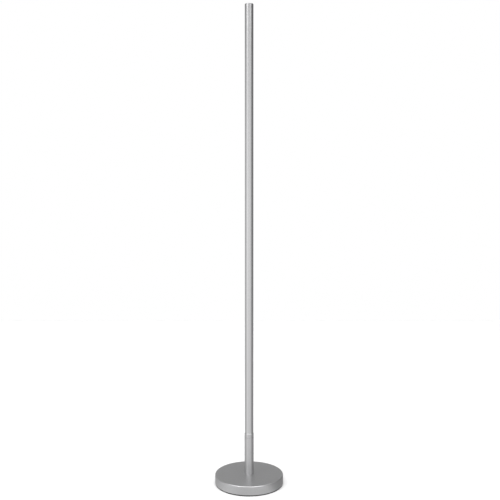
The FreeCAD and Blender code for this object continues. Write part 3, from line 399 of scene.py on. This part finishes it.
finish_nodes(anodised_aluminium("anodised_aluminium", "cfcfd0", 0.12, 250.0, 0.34), "pole_tube")
finish_nodes(anodised_aluminium("turned_anodised_aluminium", "d2d2d4", 40.0, 0.15, 0.3), "top_ring")


# --- Light source ---------------------------------------------------------------------------------
# A fluted aluminium slug in the pole's upper end carries the board and the emitter. An off-centre cone
# throws the light up and to one side through a clear glass disc.

def sintered_ceramic(name):
    """Alumina carrier: matt white with a faint sparkle of grains."""
    material, tree, place = begin(name)
    grains = add(tree, "TexNoise", {"Scale": 1 / (0.2 * mm), "Detail": 3.0}, {"Vector": place})
    tint = add(tree, "Mix", {"A": linear("e4e3df"), "B": linear("f0efec")},
               {"Factor": grains.outputs["Fac"]}, data_type="RGBA")
    shader = add(tree, "BsdfPrincipled", {"Roughness": 0.6, "IOR": 1.76},
                 {"Base Color": tint.outputs["Result"]})
    end(tree, shader)
    return material


def phosphor_in_silicone(name):
    """Yellow phosphor settled in clear silicone: matt powder colour under a wet-looking skin."""
    material, tree, place = begin(name)
    powder = add(tree, "TexNoise", {"Scale": 1 / (0.5 * mm), "Detail": 4.0}, {"Vector": place})
    tint = add(tree, "Mix", {"A": linear("e8c02a"), "B": linear("f1d24a")},
               {"Factor": powder.outputs["Fac"]}, data_type="RGBA")
    shader = add(tree, "BsdfPrincipled", {"Roughness": 0.55, "Coat Weight": 1.0, "Coat Roughness": 0.08},
                 {"Base Color": tint.outputs["Result"]})
    end(tree, shader)
    return material


def bright_dipped_aluminium(name):
    """Spun and bright-dipped reflector: nearly a mirror, softened by a hammered surface."""
    material, tree, place = begin(name)
    facets = add(tree, "TexVoronoi", {"Scale": 1 / (2.2 * mm)}, {"Vector": place}, feature="SMOOTH_F1")
    bump = add(tree, "Bump", {"Strength": 0.5, "Distance": 0.3 * mm},
               {"Height": facets.outputs["Distance"]})
    shader = add(tree, "BsdfPrincipled", {
        "Base Color": linear("ededee"), "Metallic": 1.0, "Roughness": 0.12}, {"Normal": bump.outputs[0]})
    end(tree, shader)
    return material


def clear_glass(name):
    """Pressed soda-lime glass: clear, with a faint waviness from the mould."""
    material, tree, place = begin(name)
    wave = add(tree, "TexNoise", {"Scale": 1 / (8 * mm)}, {"Vector": place})
    bump = add(tree, "Bump", {"Strength": 0.05, "Distance": 0.1 * mm}, {"Height": wave.outputs["Fac"]})
    end(tree, add(tree, "BsdfPrincipled", {
        "Base Color": linear("f4f8f7"), "Roughness": 0.02, "IOR": 1.52, "Transmission Weight": 1.0},
        {"Normal": bump.outputs[0]}))
    return material


finish_nodes(anodised_aluminium("extruded_aluminium", "c8c8ca", 0.3, 60.0, 0.36), "heat_sink")
finish_nodes(moulded_plastic("white_solder_resist", "eeeeec", 0.3, 0.4), "led_board")
finish_nodes(sintered_ceramic("sintered_ceramic"), "led_module")
finish_nodes(phosphor_in_silicone("phosphor_in_silicone"), "led_emitter")

dam_width = 0.55
dam_height = 0.6
dam_steps = 96
emitter_low, emitter_high = [np.array(corner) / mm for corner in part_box("led_emitter")]
emitter_radius = (emitter_high[0] - emitter_low[0]) / 2
dam = [(emitter_radius, emitter_low[2] + dam_height / 2), (emitter_radius, emitter_low[2]),
       (emitter_radius + dam_width, emitter_low[2]),
       (emitter_radius + dam_width, emitter_low[2] + dam_height / 2)]
dam += arc((emitter_radius + dam_width / 2, emitter_low[2] + dam_height / 2), dam_width / 2, 0, 180)[1:-1]
points, faces = closed_ring(dam, dam_steps)
points[:, 1] += (emitter_low[1] + emitter_high[1]) / 2 * mm
piece("emitter_dam", points, faces, moulded_plastic("white_silicone", "f0efe9", 0.2, 0.45), "stem", None,
      "ceramic")

finish_nodes(bright_dipped_aluminium("bright_dipped_aluminium"), "reflector")
finish_nodes(clear_glass("clear_glass"), "lens")
finish_nodes(moulded_rubber("gasket_rubber", "1a1a1a", 0.4), "lens_gasket")


# --- Studio ---------------------------------------------------------------------------------------
# White floor and white surroundings. The world holds the studio's soft light: a ring of brightness round
# the lamp, brightest at the front left and darkest at the right, and panels high in front and overhead.
# Two softboxes stand high to the left and right of the camera.

def set_ramp(ramp, stops):
    """Gives a colour ramp grey stops at the places and levels listed."""
    while len(ramp.elements) > 1:
        ramp.elements.remove(ramp.elements[0])
    ramp.elements[0].position = stops[0][0]
    ramp.elements[0].color = (stops[0][1],) * 3 + (1.0,)
    for position, level in stops[1:]:
        ramp.elements.new(position).color = (level,) * 3 + (1.0,)


def around_level(tree, east, north):
    """Socket with the studio's brightness in a compass direction: the angle from south to east,
    through a ramp."""
    south = add(tree, "Math", {1: -1.0}, {0: north}, operation="MULTIPLY")
    compass = add(tree, "Math", links={0: east, 1: south.outputs[0]}, operation="ARCTAN2")
    turn = add(tree, "MapRange", {"From Min": -math.pi, "From Max": math.pi}, {"Value": compass.outputs[0]})
    around = add(tree, "ValToRGB", links={0: turn.outputs[0]})
    set_ramp(around.color_ramp, [(0.5 + degrees / 360, level) for degrees, level in studio_around])
    return around.outputs[0]


def between(tree, limits, levels, value):
    """Socket that goes from the first level to the second as the value goes from one limit to the other."""
    settings = {"From Min": limits[0], "From Max": limits[1], "To Min": levels[0], "To Max": levels[1]}
    return add(tree, "MapRange", settings, {"Value": value}).outputs[0]


def studio_world():
    """World: white to the camera and through glass. Other rays see a brightness by compass direction,
    times a share by height, plus a faint panel high in front and a bright one overhead."""
    world = bpy.data.worlds.new("studio")
    bpy.context.scene.world = world
    world.use_nodes = True
    tree = world.node_tree
    tree.nodes.clear()
    direction = add(tree, "SeparateXYZ", links={0: add(tree, "TexCoord").outputs["Generated"]})
    east, north, up = direction.outputs
    rise = between(tree, (-1.0, 1.0), (0.0, 1.0), up)
    upward = add(tree, "ValToRGB", links={0: rise})
    set_ramp(upward.color_ramp, [(0.5 + height / 2, level) for height, level in studio_upward])
    ring = add(tree, "Math", links={0: around_level(tree, east, north), 1: upward.outputs[0]},
               operation="MULTIPLY")
    high = between(tree, front_panel_heights, (0.0, 1.0), up)
    front = between(tree, front_panel_norths, (0.0, front_panel_level), north)
    overhead = between(tree, overhead_heights, (0.0, overhead_level), up)
    panels = add(tree, "Math", links={0: high, 1: front, 2: overhead}, operation="MULTIPLY_ADD")
    scaled = add(tree, "Math", {1: studio_level}, {0: ring.outputs[0], 2: panels.outputs[0]},
                 operation="MULTIPLY_ADD")
    ray = add(tree, "LightPath")
    white = add(tree, "Math",
                links={0: ray.outputs["Is Camera Ray"], 1: ray.outputs["Is Transmission Ray"]},
                operation="MAXIMUM")
    strength = add(tree, "Mix", {"B": 1.0}, {"Factor": white.outputs[0], "A": scaled.outputs[0]})
    light = add(tree, "Background", {"Color": (1.0, 1.0, 1.0, 1.0)}, {"Strength": strength.outputs[0]})
    add(tree, "OutputWorld", links={"Surface": light.outputs[0]})


# Compass directions are degrees from the camera's side towards its right. Heights and norths are the upward
# and the northward part of a direction of length 1. Each stop has its direction or height, and its level.
studio_level = 1.48
studio_around = [
    (-180, 0.44), (-140, 0.43), (-105, 0.39), (-75, 0.66), (-45, 1.0), (-15, 0.71),
    (15, 0.79), (40, 0.78), (62, 0.29), (90, 0.2), (130, 0.14), (180, 0.44)]
studio_upward = [(-1, 0.8), (0.05, 1.0), (0.22, 0.9), (0.34, 0.35), (0.6, 0.25), (1, 0.25)]
front_panel_level = 0.46
front_panel_heights = (0.45, 0.6)
front_panel_norths = (-0.1, -0.4)
overhead_level = 1.49
overhead_heights = (0.72, 0.85)
studio_world()

# Each softbox has its name, compass direction, distance and height in metres, and power in watts.
softboxes = [("left_softbox", -50, 3.2, 3.9, 36.6), ("right_softbox", 42, 3.2, 3.9, 21.3)]
softbox_size = 1.0
for name, compass, distance, height, power in softboxes:
    softbox_data = bpy.data.lights.new(name, "AREA")
    softbox_data.shape = "SQUARE"
    softbox_data.size = softbox_size
    softbox_data.energy = power
    softbox = bpy.data.objects.new(name, softbox_data)
    turn = math.radians(compass)
    softbox.location = (distance * math.sin(turn), -distance * math.cos(turn), height)
    softbox.rotation_euler = (-softbox.location).to_track_quat("-Z", "Y").to_euler()
    bpy.context.scene.collection.objects.link(softbox)

floor_half = 4.0
floor_mesh = bpy.data.meshes.new("floor")
corners = [(-floor_half, -floor_half, 0), (floor_half, -floor_half, 0), (floor_half, floor_half, 0),
           (-floor_half, floor_half, 0)]
floor_mesh.from_pydata(corners, [], [(0, 1, 2, 3)])
floor = bpy.data.objects.new("floor", floor_mesh)
bpy.context.scene.collection.objects.link(floor)

# The camera sees matt paint that glows a little, so that it reaches white, with a contact shadow at the
# foot that is partly real and partly painted: ambient occlusion darkens the glow. Reflections see only a
# glow of painted light: a share of the studio's brightness around, with painted shade close to the base.
# Radii are in metres.
floor_glow = 0.25
mirrored_share = 0.91
mirrored_even = 0.21
near_shade_share = 0.75
near_shade_radii = (0.15, 0.5)
contact_reach = 6 * mm
floor_material, tree, place = begin("white_floor")
spot = add(tree, "SeparateXYZ", links={0: place})
radius = add(tree, "VectorMath", links={0: place}, operation="LENGTH").outputs["Value"]
ray = add(tree, "LightPath")
seen = add(tree, "Math", links={0: ray.outputs["Is Camera Ray"], 1: ray.outputs["Is Transmission Ray"]},
           operation="MAXIMUM")
around = around_level(tree, spot.outputs[0], spot.outputs[1])
# Painted light: the glow that reflections see follows the studio's brightness by compass direction.
shared = add(tree, "Math", {1: mirrored_share, 2: mirrored_even}, {0: around}, operation="MULTIPLY_ADD")
# Painted shade: that glow is darker close to the base.
near = between(tree, near_shade_radii, (near_shade_share, 1.0), radius)
fading = add(tree, "Math", links={0: shared.outputs[0], 1: near}, operation="MULTIPLY")
mirrored = add(tree, "Math", links={0: fading.outputs[0], 1: ray.outputs["Is Glossy Ray"]},
               operation="MULTIPLY")
# Painted contact shadow: ambient occlusion darkens the glow that the camera sees near the foot.
contact = add(tree, "AmbientOcclusion", {"Distance": contact_reach}, samples=8)
white = add(tree, "Math", {1: floor_glow}, {0: contact.outputs["AO"]}, operation="MULTIPLY")
strength = add(tree, "Mix",
               links={"Factor": seen.outputs[0], "A": mirrored.outputs[0], "B": white.outputs[0]})
glow = add(tree, "Emission", {"Color": (1.0, 1.0, 1.0, 1.0)}, {"Strength": strength.outputs[0]})
matt = add(tree, "BsdfDiffuse", {"Color": linear("e8e8e8")})
lit = add(tree, "AddShader", links={0: glow.outputs[0], 1: matt.outputs[0]})
shown = add(tree, "MixShader",
            links={0: ray.outputs["Is Glossy Ray"], 1: lit.outputs[0], 2: glow.outputs[0]})
end(tree, shown)
floor_mesh.materials.append(floor_material)


# --- Camera ---------------------------------------------------------------------------------------
# The photograph was taken from about 2.4 m in front of the lamp and a little above half its height, with
# the camera tilted slightly down.

camera_place = (3.2 * mm, -2401 * mm, 959 * mm)
camera_tilt = 2.382
focal_pixels = 660.8
picture_pixels = 500
sensor = 36.0
nearest_seen = 0.05
farthest_seen = 50.0
camera_data = bpy.data.cameras.new("camera")
camera_data.sensor_width = sensor
camera_data.lens = focal_pixels / picture_pixels * sensor
camera_data.clip_start = nearest_seen
camera_data.clip_end = farthest_seen
camera = bpy.data.objects.new("camera", camera_data)
camera.location = camera_place
camera.rotation_euler = Euler((math.radians(90 - camera_tilt), 0, 0))
bpy.context.scene.collection.objects.link(camera)
bpy.context.scene.camera = camera

bpy.context.scene.view_settings.view_transform = "Standard"
